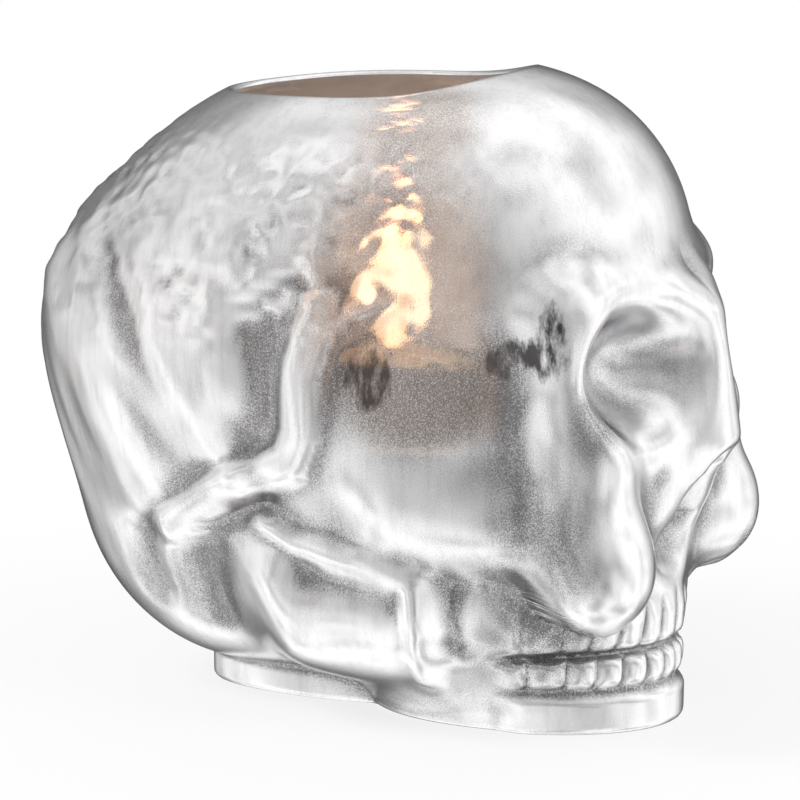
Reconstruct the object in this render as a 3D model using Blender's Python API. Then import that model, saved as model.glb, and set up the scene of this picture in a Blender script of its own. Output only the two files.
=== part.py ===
"""Skull candle holder: a hollow skull of pressed glass with a tea light standing in its cavity.

The skull looks along -Y, +X is its left and +Z is up. The origin is on the ground, at the middle of the
whole. The skull is one form, smooth unions and cuts of simple bodies about the plane X = 0, and its mesh is
rings of points that are drawn in along lines from the middle until they meet that form.
"""

import math

import bmesh
import bpy
import numpy as np

# Sizes are in metres. The bodies of the skull's form are written for its left half and hold for both.

# Main sizes. The bodies of the form are written for the drawn size, and are stretched to the skull's own.
SKULL_WIDTH = 0.1001
SKULL_LENGTH = 0.1418
SKULL_HEIGHT = 0.1245
DRAWN_WIDTH = 0.1001
DRAWN_LENGTH = 0.1418
DRAWN_HEIGHT = 0.1245

# Tea light, which stands on the well's floor.
REST_GAP = 0.0003
CUP_RADIUS = 0.0190
CUP_HEIGHT = 0.0155
CUP_WALL = 0.0004
CUP_BEAD_RADIUS = 0.0006
CUP_FOOT_BEVEL = 0.0010
CUP_CENTRE_Y = -0.0020
WAX_HEIGHT = 0.0120
WAX_POOL_DEPTH = 0.0012
CLIP_RADIUS = 0.0060
CLIP_THICKNESS = 0.0005
CLIP_NECK_RADIUS = 0.0017
CLIP_NECK_HEIGHT = 0.0040
WICK_RADIUS = 0.0008
WICK_ABOVE_WAX = 0.0060
WICK_BEND = 0.0012
WICK_STRAIGHT = 0.0015
ROUND_STEPS = 36

# Well for the candle, oval, open at the top of the cranium. Its flat floor takes the tea light's cup.
FLOOR_HEIGHT = 0.0540
FLOOR_FILLET = 0.0030
FLOOR_CLEARANCE = 0.0005
FLOOR_EXTRA_LENGTH = 0.0025
FLOOR_CENTRE_Y = 0.0
FLOOR_HALF_WIDTH = CUP_RADIUS + FLOOR_CLEARANCE + FLOOR_FILLET
FLOOR_HALF_LENGTH = FLOOR_HALF_WIDTH + FLOOR_EXTRA_LENGTH
WELL_DRAFT_WIDTH = 0.0025
WELL_DRAFT_LENGTH = 0.0040
MOUTH_HALF_WIDTH = FLOOR_HALF_WIDTH + WELL_DRAFT_WIDTH
MOUTH_HALF_LENGTH = FLOOR_HALF_LENGTH + WELL_DRAFT_LENGTH
MOUTH_CENTRE_Y = 0.0040
LIP_RADIUS = 0.0016

# Flat foot.
FOOT_EDGE_RADIUS = 0.0015

# Mesh of the skull: columns around it, and rings up its outside, over its lip and down into its well.
COLUMNS = 84
FRONT_CROWDING = 0.36
LOWER_RINGS = 34
UPPER_RINGS = 13
LIP_RINGS = 3
WELL_RINGS = 5
FILLET_RINGS = 3
CROWN_HEIGHT = 0.0850
OUTSIDE = 0.1300
AXIS_Y = -0.0100
DRAW_STEPS = 48
DRAW_SHARE = 0.85

# Braincase, each body as its centre and its three radii.
CRANIUM = ((0.0, 0.0116, 0.0725), (0.0490, 0.0619, 0.0445))
FRONTAL = ((0.0, -0.0222, 0.0874), (0.0442, 0.0345, 0.0371))
CROWN = ((0.0, 0.0059, 0.0947), (0.0448, 0.0416, 0.0309))
OCCIPUT = ((0.0, 0.0288, 0.0448), (0.0353, 0.0375, 0.0402))
TEMPLES = ((0.0, -0.0126, 0.0560), (0.0446, 0.0462, 0.0343))
UNDERSIDE = ((0.0, -0.0087, 0.0271), (0.0415, 0.0365, 0.0240))
BRAINCASE_BLEND = 0.0120

# Face. Round bars are their two ends and the radius at each.
MIDFACE = ((0.0, -0.0425, 0.0550), (0.0370, 0.0195, 0.0290))
BRIDGE = ((0.0, -0.0588, 0.0780), (0.0, -0.0616, 0.0560), 0.0062, 0.0068)
BROW = ((0.0090, -0.0530, 0.0800), (0.0275, -0.0465, 0.0825), 0.0070, 0.0068)
MARGIN = ((0.0335, -0.0435, 0.0830), (0.0320, -0.0500, 0.0590), 0.0062, 0.0065)
CHEEK = ((0.0325, -0.0490, 0.0590), (0.0345, -0.0505, 0.0430), 0.0060, 0.0060)
CHEEKBONE = ((0.0338, -0.0526, 0.0355), (0.0100, 0.0094, 0.0102))
ARCH = ((0.0290, -0.0470, 0.0420), (0.0385, -0.0150, 0.0470), 0.0080, 0.0055)
BUTTRESS = ((0.0285, -0.0505, 0.0350), (0.0080, -0.0430, 0.0250), 0.0078, 0.0040)
FACE_BLEND = 0.0090
ORBIT = ((0.0240, -0.0655, 0.0715), (0.0165, 0.0210, 0.0128))
ORBIT_TURN = math.radians(15.0)
NOSE_OPENING = ((0.0, -0.0650, 0.0500), (0.0, -0.0640, 0.0385), 0.0040, 0.0118)
CANINE_HOLLOW = ((0.0205, -0.0680, 0.0470), (0.0065, 0.0090, 0.0100))
ORBIT_BLEND = 0.0070
CUT_BLEND = 0.0040

# Jaw block, a column with an arched front that carries both rows of teeth, and the foot behind it.
JAW_CENTRE_Y = -0.0260
JAW_HALF_WIDTH = 0.0255
JAW_FOOT_HALF_WIDTH = 0.0210
JAW_WIDEST_HEIGHT = 0.0200
JAW_HALF_LENGTH = 0.0303
JAW_TOP = 0.0300
JAW_ROUNDING = 0.0030
FOOT_CENTRE_Y = 0.0100
FOOT_HALF_WIDTH = 0.0120
FOOT_HALF_LENGTH = 0.0301
FOOT_TOP = 0.0100
FOOT_ROUNDING = 0.0010

# Rows of teeth, as heights and how far each stands out from the jaw block.
LIP_HEIGHT = 0.0075
LIP_PROUD = 0.0014
GUM_GROOVE_DEPTH = 0.0004
LOWER_TEETH_PROUD = 0.0011
BITE_HEIGHT = 0.0158
BITE_DEPTH = 0.0009
UPPER_TEETH_PROUD = 0.0012
GUM_HEIGHT = 0.0245
ROW_EDGE = 0.0015
TOOTH_GAP_DEPTH = 0.0011
UPPER_TEETH = (0.0062, 0.0052, 0.0058, 0.0054, 0.0054, 0.0075, 0.0075)
LOWER_TEETH = (0.0046, 0.0050, 0.0056, 0.0056, 0.0058, 0.0078, 0.0078)

# Relief on the sides: a line of (y, z) points, its half width, and how far it stands out, or sinks if minus.
SIDE_RELIEF_START = 0.0160
SIDE_RELIEF_FULL = 0.0280
CREST = (((-0.0040, 0.0840), (0.0005, 0.0720), (0.0015, 0.0600), (0.0040, 0.0545), (0.0120, 0.0505),
          (0.0210, 0.0460), (0.0320, 0.0380)), 0.0036, 0.0021)
CREST_REAR_BRANCH = (((-0.0040, 0.0840), (-0.0020, 0.0930)), 0.0028, 0.0010)
CREST_FRONT_BRANCH = (((-0.0040, 0.0800), (-0.0140, 0.0870)), 0.0026, 0.0015)
CREST_HOLLOW = (((0.0100, 0.0780), (0.0090, 0.0600)), 0.0060, -0.0026)
CREST_FOLD = (((0.0120, 0.0450), (0.0250, 0.0395)), 0.0030, -0.0018)
FOSSA_BORDER = (((0.0130, 0.0410), (0.0050, 0.0370), (-0.0080, 0.0350), (-0.0170, 0.0320)), 0.0034, 0.0014)
FOSSA_HOLLOW = (((0.0030, 0.0315), (-0.0140, 0.0290)), 0.0045, -0.0011)
JAW_CREST = (((-0.0180, 0.0310), (-0.0195, 0.0220), (-0.0175, 0.0110)), 0.0028, 0.0016)
JAW_CREST_HOLLOW = (((-0.0250, 0.0300), (-0.0240, 0.0200)), 0.0038, -0.0020)
MASTOID = (((0.0120, 0.0290), (0.0080, 0.0170)), 0.0080, 0.0032)
NAPE_FRONT_HOLLOW = (((0.0280, 0.0330), (0.0270, 0.0220)), 0.0062, -0.0020)
NAPE_REAR_HOLLOW = (((0.0400, 0.0350), (0.0385, 0.0240)), 0.0046, -0.0016)
SIDE_RELIEF = (CREST, CREST_REAR_BRANCH, CREST_FRONT_BRANCH, CREST_HOLLOW, CREST_FOLD, FOSSA_BORDER,
               FOSSA_HOLLOW, JAW_CREST, JAW_CREST_HOLLOW, MASTOID, NAPE_FRONT_HOLLOW, NAPE_REAR_HOLLOW)


def ellipsoid(points, body, turn=0.0):
    """Distance to an ellipsoid turned outwards about Z, close to true near its skin."""
    centre, radii = (np.array(part) for part in body)
    cosine, sine = math.cos(turn), math.sin(turn)
    axes = np.array([[cosine, -sine, 0.0], [sine, cosine, 0.0], [0.0, 0.0, 1.0]])
    scaled = (points - centre) @ axes / radii
    reach = np.linalg.norm(scaled, axis=1) + 1e-9
    slope = np.linalg.norm(scaled / radii, axis=1) + 1e-9
    return reach * (reach - 1.0) / slope


def capsule(points, body):
    """Distance to a round bar that tapers from one end to the other."""
    start, end = np.array(body[0]), np.array(body[1])
    along = end - start
    share = np.clip((points - start) @ along / (along @ along), 0.0, 1.0)
    nearest = start + share[:, None] * along
    radius = body[2] + share * (body[3] - body[2])
    return np.linalg.norm(points - nearest, axis=1) - radius


def oval_column(points, centre_y, half_width, half_length, top, rounding):
    """Distance to an upright column with an oval plan and a rounded top."""
    scaled = np.stack([points[:, 0] / half_width, (points[:, 1] - centre_y) / half_length], axis=1)
    reach = np.linalg.norm(scaled, axis=1) + 1e-9
    slope = np.hypot(scaled[:, 0] / half_width, scaled[:, 1] / half_length) + 1e-9
    side = reach * (reach - 1.0) / slope + rounding
    rise = points[:, 2] - top + rounding
    outer = np.hypot(np.maximum(side, 0.0), np.maximum(rise, 0.0))
    return np.minimum(np.maximum(side, rise), 0.0) + outer - rounding


def join(first, second, blend):
    """Union of two distances, with a fillet of about the blend's size."""
    overlap = np.maximum(blend - np.abs(first - second), 0.0) / blend
    return np.minimum(first, second) - overlap ** 2 * blend / 4.0


def cut(body, cutter, blend):
    """First distance with the second taken out of it, and the edge eased."""
    return -join(-body, cutter, blend)


def smooth_step(values, start, end):
    """Eases from 0 at the start to 1 at the end."""
    share = np.clip((values - start) / (end - start), 0.0, 1.0)
    return share * share * (3.0 - 2.0 * share)


def stroke(points, line, half_width):
    """Soft ridge of height 1 along a line of (y, z) points, seen from the side."""
    nearest = np.full(len(points), np.inf)
    for start, end in zip(np.array(line[:-1]), np.array(line[1:])):
        along = end - start
        share = np.clip((points[:, 1:] - start) @ along / (along @ along), 0.0, 1.0)
        nearest = np.minimum(nearest, np.linalg.norm(points[:, 1:] - start - share[:, None] * along, axis=1))
    return np.exp(-(nearest / half_width) ** 2)


def side_relief(half):
    """How far the ridges and hollows on the skull's side stand out at each point."""
    ridges = np.zeros(len(half))
    hollows = np.zeros(len(half))
    for line, half_width, proud in SIDE_RELIEF:
        height = proud * stroke(half, line, half_width)
        ridges = np.maximum(ridges, height)
        hollows = np.minimum(hollows, height)
    return (ridges + hollows) * smooth_step(half[:, 0], SIDE_RELIEF_START, SIDE_RELIEF_FULL)


def tooth_crowns(along_arch, widths):
    """1 at the middle of each tooth and 0 where two teeth meet, from the distance along the arch."""
    borders = np.concatenate([[0.0], np.cumsum(widths)])
    tooth = np.clip(np.searchsorted(borders, along_arch) - 1, 0, len(widths) - 1)
    across = (along_arch - borders[tooth]) / np.array(widths)[tooth]
    return np.sqrt(np.abs(np.sin(math.pi * np.clip(across, 0.0, 1.0))))


def teeth_relief(half):
    """How far the lip of the foot and both rows of teeth stand out of the jaw block."""
    height = half[:, 2]
    turn = np.arctan2(half[:, 0] / JAW_HALF_WIDTH, (JAW_CENTRE_Y - half[:, 1]) / JAW_HALF_LENGTH)
    turns = np.linspace(0.0, math.pi, 91)
    lengths = np.hypot(JAW_HALF_WIDTH * np.cos(turns), JAW_HALF_LENGTH * np.sin(turns))
    arch = np.concatenate([[0.0], np.cumsum((lengths[1:] + lengths[:-1]) / 2.0 * np.diff(turns))])
    along_arch = np.interp(turn, turns, arch)
    lip = 1.0 - smooth_step(height, LIP_HEIGHT - ROW_EDGE, LIP_HEIGHT + ROW_EDGE)
    lower = smooth_step(height, LIP_HEIGHT, LIP_HEIGHT + 2.0 * ROW_EDGE)
    lower *= 1.0 - smooth_step(height, BITE_HEIGHT - ROW_EDGE, BITE_HEIGHT)
    upper = smooth_step(height, BITE_HEIGHT, BITE_HEIGHT + ROW_EDGE)
    upper *= 1.0 - smooth_step(height, GUM_HEIGHT - 2.0 * ROW_EDGE, GUM_HEIGHT + 2.0 * ROW_EDGE)
    relief = LIP_PROUD * lip - GUM_GROOVE_DEPTH * np.exp(-((height - LIP_HEIGHT - ROW_EDGE) / ROW_EDGE) ** 2)
    relief -= BITE_DEPTH * np.exp(-((height - BITE_HEIGHT) / ROW_EDGE) ** 2)
    relief += lower * (LOWER_TEETH_PROUD - TOOTH_GAP_DEPTH * (1.0 - tooth_crowns(along_arch, LOWER_TEETH)))
    relief += upper * (UPPER_TEETH_PROUD - TOOTH_GAP_DEPTH * (1.0 - tooth_crowns(along_arch, UPPER_TEETH)))
    last = sum(LOWER_TEETH)
    return relief * (1.0 - smooth_step(along_arch, last - LOWER_TEETH[-1], last))


def skull_form(points):
    """Distance of each point to the skull's outer skin, negative inside."""
    stretch = np.array([SKULL_WIDTH / DRAWN_WIDTH, SKULL_LENGTH / DRAWN_LENGTH, SKULL_HEIGHT / DRAWN_HEIGHT])
    half = points / stretch
    half[:, 0] = np.abs(half[:, 0])
    form = ellipsoid(half, CRANIUM)
    for body in (FRONTAL, CROWN, OCCIPUT, TEMPLES, UNDERSIDE):
        form = join(form, ellipsoid(half, body), BRAINCASE_BLEND)
    form = join(form, ellipsoid(half, MIDFACE), FACE_BLEND)
    rise = np.clip(half[:, 2] / JAW_WIDEST_HEIGHT, 0.0, 1.0)
    jaw_width = JAW_FOOT_HALF_WIDTH + (JAW_HALF_WIDTH - JAW_FOOT_HALF_WIDTH) * rise
    jaw = oval_column(half, JAW_CENTRE_Y, jaw_width, JAW_HALF_LENGTH, JAW_TOP, JAW_ROUNDING)
    form = join(form, jaw, FACE_BLEND)
    form = join(form, ellipsoid(half, CHEEKBONE), FACE_BLEND)
    for body in (BRIDGE, BROW, MARGIN, CHEEK, ARCH, BUTTRESS):
        form = join(form, capsule(half, body), FACE_BLEND)
    form = cut(form, ellipsoid(half, ORBIT, ORBIT_TURN), ORBIT_BLEND)
    form = cut(form, ellipsoid(half, CANINE_HOLLOW), CUT_BLEND)
    form = cut(form, capsule(half, NOSE_OPENING), CUT_BLEND)
    form -= side_relief(half) + teeth_relief(half)
    foot = oval_column(half, FOOT_CENTRE_Y, FOOT_HALF_WIDTH, FOOT_HALF_LENGTH, FOOT_TOP, FOOT_ROUNDING)
    return join(form, foot, FOOT_ROUNDING) * stretch.min()


def draw_in(origins, directions):
    """Points where lines from the origins last leave the form, found by stepping in from outside."""
    reach = np.full(len(origins), OUTSIDE)
    for _ in range(DRAW_STEPS):
        reach -= DRAW_SHARE * skull_form(origins + directions * reach[:, None])
        reach = np.clip(reach, 0.0, OUTSIDE)
    return origins + directions * reach[:, None]


def column_angles(count):
    """Angles of the mesh's columns about Z, the face's closer together, symmetric about X = 0."""
    even = (np.arange(count) + 0.5) * 2.0 * math.pi / count
    from_back = even + FRONT_CROWDING * np.sin(even)
    return from_back + math.pi / 2.0


def oval_reach(angles, centre_y, half_width, half_length):
    """Distance from the mesh's axis to an oval's edge, at each angle."""
    cosine, sine = np.cos(angles), np.sin(angles)
    offset = centre_y - AXIS_Y
    square = (cosine / half_width) ** 2 + (sine / half_length) ** 2
    middle = sine * offset / half_length ** 2
    rest = (offset / half_length) ** 2 - 1.0
    return (middle + np.sqrt(middle ** 2 - square * rest)) / square


def ring_points(angles, reach, height, centre_y=AXIS_Y):
    """Points at a distance from an upright axis and at a height, one for each angle."""
    height = np.broadcast_to(height, angles.shape)
    return np.stack([np.cos(angles) * reach, centre_y + np.sin(angles) * reach, height], axis=1)


def skull_rings(columns, lower_rings, upper_rings):
    """Rings of points from the foot's underside up the outside, over the lip and down to the well's floor."""
    angles = column_angles(columns)
    level = np.zeros(columns)
    flat = ring_points(angles, 1.0, level, 0.0)

    heights = CROWN_HEIGHT * (np.arange(1, lower_rings + 1) / lower_rings) ** 1.12
    outside = [draw_in(ring_points(angles, level, FOOT_EDGE_RADIUS), flat)]
    ground = outside[0] * [1.0, 1.0, 0.0]
    ground[:, :2] -= flat[:, :2] * FOOT_EDGE_RADIUS
    outside.insert(0, ground)
    outside += [draw_in(ring_points(angles, level, height), flat) for height in heights
                if height > 2.0 * FOOT_EDGE_RADIUS]

    mouth = oval_reach(angles, MOUTH_CENTRE_Y, MOUTH_HALF_WIDTH, MOUTH_HALF_LENGTH)
    above = ring_points(angles, mouth + LIP_RADIUS, level)
    edge = draw_in(above, np.tile([0.0, 0.0, 1.0], (columns, 1)))
    rise = np.arctan2(edge[:, 2] - CROWN_HEIGHT, mouth + LIP_RADIUS)
    for ring in range(1, upper_rings):
        tilt = rise * ring / upper_rings
        directions = ring_points(angles, np.cos(tilt), np.sin(tilt), 0.0)
        outside.append(draw_in(ring_points(angles, level, CROWN_HEIGHT), directions))

    lip = []
    for ring in range(LIP_RINGS + 1):
        turn = math.pi / 2.0 * ring / LIP_RINGS
        lip.append(ring_points(angles, mouth + LIP_RADIUS * (1.0 - math.sin(turn)),
                               edge[:, 2] - LIP_RADIUS * (1.0 - math.cos(turn))))

    floor = oval_reach(angles, FLOOR_CENTRE_Y, FLOOR_HALF_WIDTH, FLOOR_HALF_LENGTH)
    well = []
    wall_foot = FLOOR_HEIGHT + FLOOR_FILLET
    for ring in range(1, WELL_RINGS + 1):
        share = ring / WELL_RINGS
        top = edge[:, 2] - LIP_RADIUS
        well.append(ring_points(angles, mouth + (floor - mouth) * share, top + (wall_foot - top) * share))
    for ring in range(1, FILLET_RINGS + 1):
        turn = math.pi / 2.0 * ring / FILLET_RINGS
        well.append(ring_points(angles, floor - FLOOR_FILLET * (1.0 - math.cos(turn)),
                                wall_foot - FLOOR_FILLET * math.sin(turn)))
    return outside + lip + well


def loft(rings):
    """Closed mesh through rings of points, each end filled with a flat face."""
    mesh = bmesh.new()
    start = bmesh.ops.create_circle(mesh, cap_ends=False, radius=1.0, segments=len(rings[0]))
    verts = start["verts"]
    edges = list({edge for vert in verts for edge in vert.link_edges})
    first = sorted(verts, key=lambda vert: math.atan2(vert.co.y, vert.co.x))
    order = ring_order(first[0], edges)
    place(order, rings[0])
    ends = [edges]
    for ring in rings[1:]:
        grown = bmesh.ops.extrude_edge_only(mesh, edges=edges)["geom"]
        new = {item for item in grown if isinstance(item, bmesh.types.BMVert)}
        edges = [item for item in grown if isinstance(item, bmesh.types.BMEdge)
                 and item.verts[0] in new and item.verts[1] in new]
        order = [next(edge.other_vert(vert) for edge in vert.link_edges if edge.other_vert(vert) in new)
                 for vert in order]
        place(order, ring)
    ends.append(edges)
    for end in ends:
        bmesh.ops.contextual_create(mesh, geom=end)
    bmesh.ops.recalc_face_normals(mesh, faces=mesh.faces)
    return mesh


def ring_order(first, edges):
    """Verts of a closed ring of edges, in order, starting at one of them and turning about +Z."""
    members = set(edges)
    order = [first]
    step = next(edge for edge in first.link_edges if edge in members
                and edge.other_vert(first).co.cross(first.co).z < 0.0)
    while len(order) < len(edges):
        order.append(step.other_vert(order[-1]))
        step = next(edge for edge in order[-1].link_edges if edge in members and edge is not step)
    return order


def place(verts, points):
    """Puts each vert at its point."""
    for vert, point in zip(verts, points):
        vert.co = point


def material(name, colour, roughness, metallic=0.0, transmission=0.0):
    """Principled material with the piece's colour and finish."""
    made = bpy.data.materials.new(name)
    made.use_nodes = True
    shader = made.node_tree.nodes["Principled BSDF"]
    shader.inputs["Base Color"].default_value = (*colour, 1.0)
    shader.inputs["Roughness"].default_value = roughness
    shader.inputs["Metallic"].default_value = metallic
    shader.inputs["Transmission Weight"].default_value = transmission
    return made


def finish(name, mesh, finish_material, sharp_angle=math.radians(40.0)):
    """Object for a node, from its bmesh."""
    data = bpy.data.meshes.new(name)
    mesh.to_mesh(data)
    mesh.free()
    data.shade_smooth()
    data.set_sharp_from_angle(angle=sharp_angle)
    data.materials.append(finish_material)
    made = bpy.data.objects.new(name, data)
    bpy.context.scene.collection.objects.link(made)
    return made


def build_skull():
    """Pressed glass skull, closed, with its well open at the top."""
    rings = skull_rings(COLUMNS, LOWER_RINGS, UPPER_RINGS)
    return finish("skull", loft(rings), material("silvered glass", (0.80, 0.81, 0.82), 0.25, 0.6, 0.5))


def turned(outline, closed):
    """Closed mesh of a (radius, height) outline turned about the tea light's axis."""
    mesh = bmesh.new()
    verts = [mesh.verts.new((radius, 0.0, height)) for radius, height in outline]
    edges = [mesh.edges.new(pair) for pair in zip(verts, verts[1:])]
    if closed:
        edges.append(mesh.edges.new((verts[-1], verts[0])))
    bmesh.ops.spin(mesh, geom=verts + edges, cent=(0.0, 0.0, 0.0), axis=(0.0, 0.0, 1.0),
                   angle=2.0 * math.pi, steps=ROUND_STEPS, use_merge=True)
    bmesh.ops.remove_doubles(mesh, verts=mesh.verts, dist=1e-6)
    bmesh.ops.recalc_face_normals(mesh, faces=mesh.faces)
    bmesh.ops.translate(mesh, verts=mesh.verts, vec=(0.0, CUP_CENTRE_Y, 0.0))
    return mesh


def arc(centre, radius, start, end, steps):
    """Points of an arc in an outline, its angles in degrees."""
    turns = [math.radians(start + (end - start) * step / steps) for step in range(steps + 1)]
    return [(centre[0] + radius * math.cos(turn), centre[1] + radius * math.sin(turn)) for turn in turns]


def build_cup():
    """Pressed aluminium cup with a rolled bead round its mouth."""
    base = FLOOR_HEIGHT + REST_GAP
    bead_height = base + CUP_HEIGHT - CUP_BEAD_RADIUS
    bore = CUP_RADIUS - CUP_WALL
    inside = base + CUP_WALL
    outline = [(0.0, base), (CUP_RADIUS - CUP_FOOT_BEVEL, base), (CUP_RADIUS, base + CUP_FOOT_BEVEL)]
    outline += arc((CUP_RADIUS, bead_height), CUP_BEAD_RADIUS, -90.0, 180.0, 6)
    outline += [(bore, bead_height - CUP_BEAD_RADIUS), (bore, inside + CUP_FOOT_BEVEL),
                (bore - CUP_FOOT_BEVEL, inside), (0.0, inside)]
    return finish("tealight_cup", turned(outline, False), material("aluminium", (0.80, 0.81, 0.82), 0.3, 1.0))


def build_wax():
    """Wax cake that fills the cup, with its hole for the wick and its pocket over the clip."""
    bottom = FLOOR_HEIGHT + REST_GAP + CUP_WALL + REST_GAP
    top = bottom + WAX_HEIGHT
    outer = CUP_RADIUS - CUP_WALL - REST_GAP
    wick_hole = WICK_RADIUS + REST_GAP
    clip_top = bottom + CLIP_THICKNESS + REST_GAP
    neck_top = bottom + CLIP_NECK_HEIGHT + REST_GAP
    clip_pocket = CLIP_RADIUS + REST_GAP
    neck_pocket = CLIP_NECK_RADIUS + REST_GAP
    outline = [(clip_pocket, bottom), (outer - CUP_FOOT_BEVEL, bottom), (outer, bottom + CUP_FOOT_BEVEL),
               (outer, top), (outer - WAX_POOL_DEPTH * 0.5, top - WAX_POOL_DEPTH * 0.7),
               (outer - WAX_POOL_DEPTH * 1.5, top - WAX_POOL_DEPTH), (wick_hole, top - WAX_POOL_DEPTH),
               (wick_hole, neck_top), (neck_pocket, neck_top), (neck_pocket, clip_top),
               (clip_pocket, clip_top)]
    return finish("wax", turned(outline, True), material("paraffin wax", (0.86, 0.83, 0.76), 0.4))


def build_clip():
    """Steel clip, a disc on the cup's floor with a neck that grips the wick."""
    bottom = FLOOR_HEIGHT + REST_GAP + CUP_WALL + REST_GAP
    bore = WICK_RADIUS + REST_GAP
    outline = [(bore, bottom), (CLIP_RADIUS, bottom), (CLIP_RADIUS, bottom + CLIP_THICKNESS),
               (CLIP_NECK_RADIUS, bottom + CLIP_THICKNESS), (CLIP_NECK_RADIUS, bottom + CLIP_NECK_HEIGHT),
               (bore, bottom + CLIP_NECK_HEIGHT)]
    return finish("wick_clip", turned(outline, True), material("tinned steel", (0.62, 0.62, 0.62), 0.35, 1.0))


def build_wick():
    """Cotton wick, upright through the clip and the wax, its burning end bent over."""
    bottom = FLOOR_HEIGHT + REST_GAP + CUP_WALL + REST_GAP
    bend_start = bottom + WAX_HEIGHT - WAX_POOL_DEPTH + WICK_STRAIGHT
    tip = bottom + WAX_HEIGHT - WAX_POOL_DEPTH + WICK_ABOVE_WAX
    angles = np.arange(10) * 2.0 * math.pi / 10
    rings = [ring_points(angles, WICK_RADIUS, bottom, CUP_CENTRE_Y)]
    for step in range(5):
        share = step / 4.0
        radius = WICK_RADIUS * (1.0 - 0.3 * share ** 3)
        height = bend_start + (tip - bend_start) * share
        rings.append(ring_points(angles, radius, height, CUP_CENTRE_Y - WICK_BEND * share ** 2))
    return finish("wick", loft(rings), material("cotton wick", (0.10, 0.09, 0.08), 0.9))


def clear_scene():
    """Takes every object out of the file."""
    for item in list(bpy.data.objects):
        bpy.data.objects.remove(item, do_unlink=True)


def centre_on(main_piece, pieces):
    """Moves every piece along Y until the middle of the main piece's length is at the origin."""
    reach = [vert.co.y for vert in main_piece.data.vertices]
    middle = (min(reach) + max(reach)) / 2.0
    for piece in pieces:
        for vert in piece.data.vertices:
            vert.co.y -= middle


def main():
    """Builds every piece."""
    clear_scene()
    skull = build_skull()
    centre_on(skull, [skull, build_cup(), build_wax(), build_clip(), build_wick()])


main()
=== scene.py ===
"""Looks of the skull candle holder: pressed glass with a satin silver coat, and a lit tea light inside."""

import logging
import math
from dataclasses import dataclass, field
from enum import Enum

import bmesh
import bpy
import numpy as np
from mathutils import Matrix, Vector


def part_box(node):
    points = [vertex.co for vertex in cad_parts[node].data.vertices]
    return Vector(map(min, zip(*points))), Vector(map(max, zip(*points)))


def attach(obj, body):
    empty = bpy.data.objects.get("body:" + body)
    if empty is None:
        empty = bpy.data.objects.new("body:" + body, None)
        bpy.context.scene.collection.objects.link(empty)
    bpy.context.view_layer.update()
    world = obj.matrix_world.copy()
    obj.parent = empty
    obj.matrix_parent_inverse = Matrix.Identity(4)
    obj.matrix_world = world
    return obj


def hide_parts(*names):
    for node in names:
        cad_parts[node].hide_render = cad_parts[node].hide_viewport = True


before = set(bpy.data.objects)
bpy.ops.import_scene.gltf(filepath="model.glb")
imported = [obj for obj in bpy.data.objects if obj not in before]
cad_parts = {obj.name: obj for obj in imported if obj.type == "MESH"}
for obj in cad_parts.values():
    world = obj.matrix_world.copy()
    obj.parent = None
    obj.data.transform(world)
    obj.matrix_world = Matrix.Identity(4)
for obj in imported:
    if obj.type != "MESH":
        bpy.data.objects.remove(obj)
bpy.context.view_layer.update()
LOG = logging.getLogger("skull candle holder")

# The tea light's axis along Y, in the lengths that the skull's form is written in.
CUP_CENTRE_Y = -0.0020
MERGE_DISTANCE = 1e-6
TINY = 1e-12
WHITE = (1.0, 1.0, 1.0, 1.0)
Point = tuple[float, float, float]
Span = tuple[float, float]


def form_shift() -> float:
    """How far along Y the frame stands from the lengths that the skull's form is written in."""
    low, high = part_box("tealight_cup")
    return (low.y + high.y) / 2.0 - CUP_CENTRE_Y


class Turn(Enum):
    """Which way a full turn's outline closes."""

    OPEN = "both ends of the outline lie on the axis"
    RING = "the outline's last point joins its first"


def linear_colour(code: str, alpha: float = 1.0) -> tuple[float, float, float, float]:
    """Linear colour of an sRGB hex value.

    Args:
        code: six hex digits.
        alpha: the fourth channel.

    Returns:
        Red, green, blue and alpha as a shader takes them.
    """
    channels = [int(code[place:place + 2], 16) / 255.0 for place in (0, 2, 4)]
    linear = [value / 12.92 if value <= 0.04045 else ((value + 0.055) / 1.055) ** 2.4 for value in channels]
    return (*linear, alpha)


def feed(tree: bpy.types.NodeTree, node: bpy.types.Node, links: dict | None = None,
         values: dict | None = None) -> None:
    """Sets what a node's inputs take.

    Args:
        tree: the node's tree.
        node: the node.
        links: output socket for each input, by name or index.
        values: constant for each input, by name or index.
    """
    for name, value in (values or {}).items():
        node.inputs[name].default_value = value
    for name, socket in (links or {}).items():
        tree.links.new(socket, node.inputs[name])


def add_node(tree: bpy.types.NodeTree, kind: str, links: dict | None = None, values: dict | None = None,
             **settings: object) -> bpy.types.Node:
    """Adds a node to a tree.

    Args:
        tree: the tree it goes into.
        kind: the node's type name.
        links: output socket for each input, by name or index.
        values: constant for each input, by name or index.
        settings: properties of the node itself.

    Returns:
        The node.
    """
    node = tree.nodes.new(kind)
    for name, value in settings.items():
        setattr(node, name, value)
    feed(tree, node, links, values)
    return node


def object_place(tree: bpy.types.NodeTree) -> bpy.types.NodeSocket:
    """Place of the shaded point in the piece's own lengths."""
    return add_node(tree, "ShaderNodeTexCoord").outputs["Object"]


def noise(tree: bpy.types.NodeTree, place: bpy.types.NodeSocket, size: float, detail: float = 2.0,
          roughness: float = 0.5) -> bpy.types.NodeSocket:
    """Noise from 0 to 1 whose largest lumps are about the size given."""
    return add_node(tree, "ShaderNodeTexNoise", {"Vector": place},
                    {"Scale": 1.0 / size, "Detail": detail, "Roughness": roughness}).outputs["Fac"]


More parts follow.
